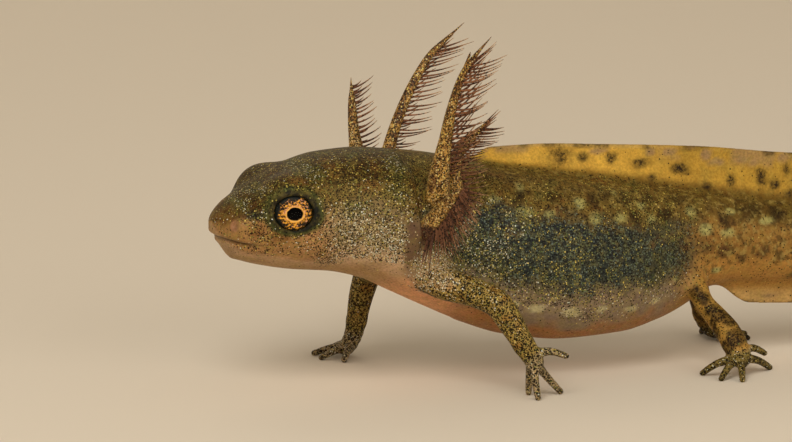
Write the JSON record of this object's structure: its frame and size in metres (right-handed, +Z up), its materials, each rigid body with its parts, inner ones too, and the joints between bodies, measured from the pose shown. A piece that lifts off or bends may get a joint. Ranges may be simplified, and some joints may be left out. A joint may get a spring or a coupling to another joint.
{
  "type": "alpine newt larva",
  "caption": "Still life-size model of a late alpine newt larva with feathery outer gills and a finned tail, standing on its four feet.",
  "frame": {"origin": "on the floor, under the middle of the whole animal's box", "axes": "+Z up; +X from the head towards the tail; +Y towards the animal's right side"},
  "size_m": [0.049, 0.0152, 0.0168],
  "materials": {
    "head_skin": "moist olive-brown skin with fine black and gold specks",
    "trunk_skin": "moist dark flank with gold-green specks over an orange-pink belly",
    "tail_skin": "moist orange-brown skin with brown spots",
    "fin": "thin mustard-yellow fin with dark spots",
    "limb_skin": "yellow-olive skin with dense black specks",
    "gill": "golden stalks with black specks and red-brown filaments",
    "eye": "wet gold-orange iris round a black pupil"
  },
  "bodies": {
    "root": {"head": "head_skin", "eye_left": "eye", "eye_right": "eye", "trunk": "trunk_skin", "tail": "tail_skin", "fin_dorsal": "fin", "fin_ventral": "fin", "upper_arm_left": "limb_skin", "forearm_left": "limb_skin", "hand_left": "limb_skin", "upper_arm_right": "limb_skin", "forearm_right": "limb_skin", "hand_right": "limb_skin", "thigh_left": "limb_skin", "shank_left": "limb_skin", "foot_left": "limb_skin", "thigh_right": "limb_skin", "shank_right": "limb_skin", "foot_right": "limb_skin", "gill_left_upper": "gill", "gill_left_middle": "gill", "gill_left_lower": "gill", "gill_right_upper": "gill", "gill_right_middle": "gill", "gill_right_lower": "gill"}
  },
  "joints": []
}
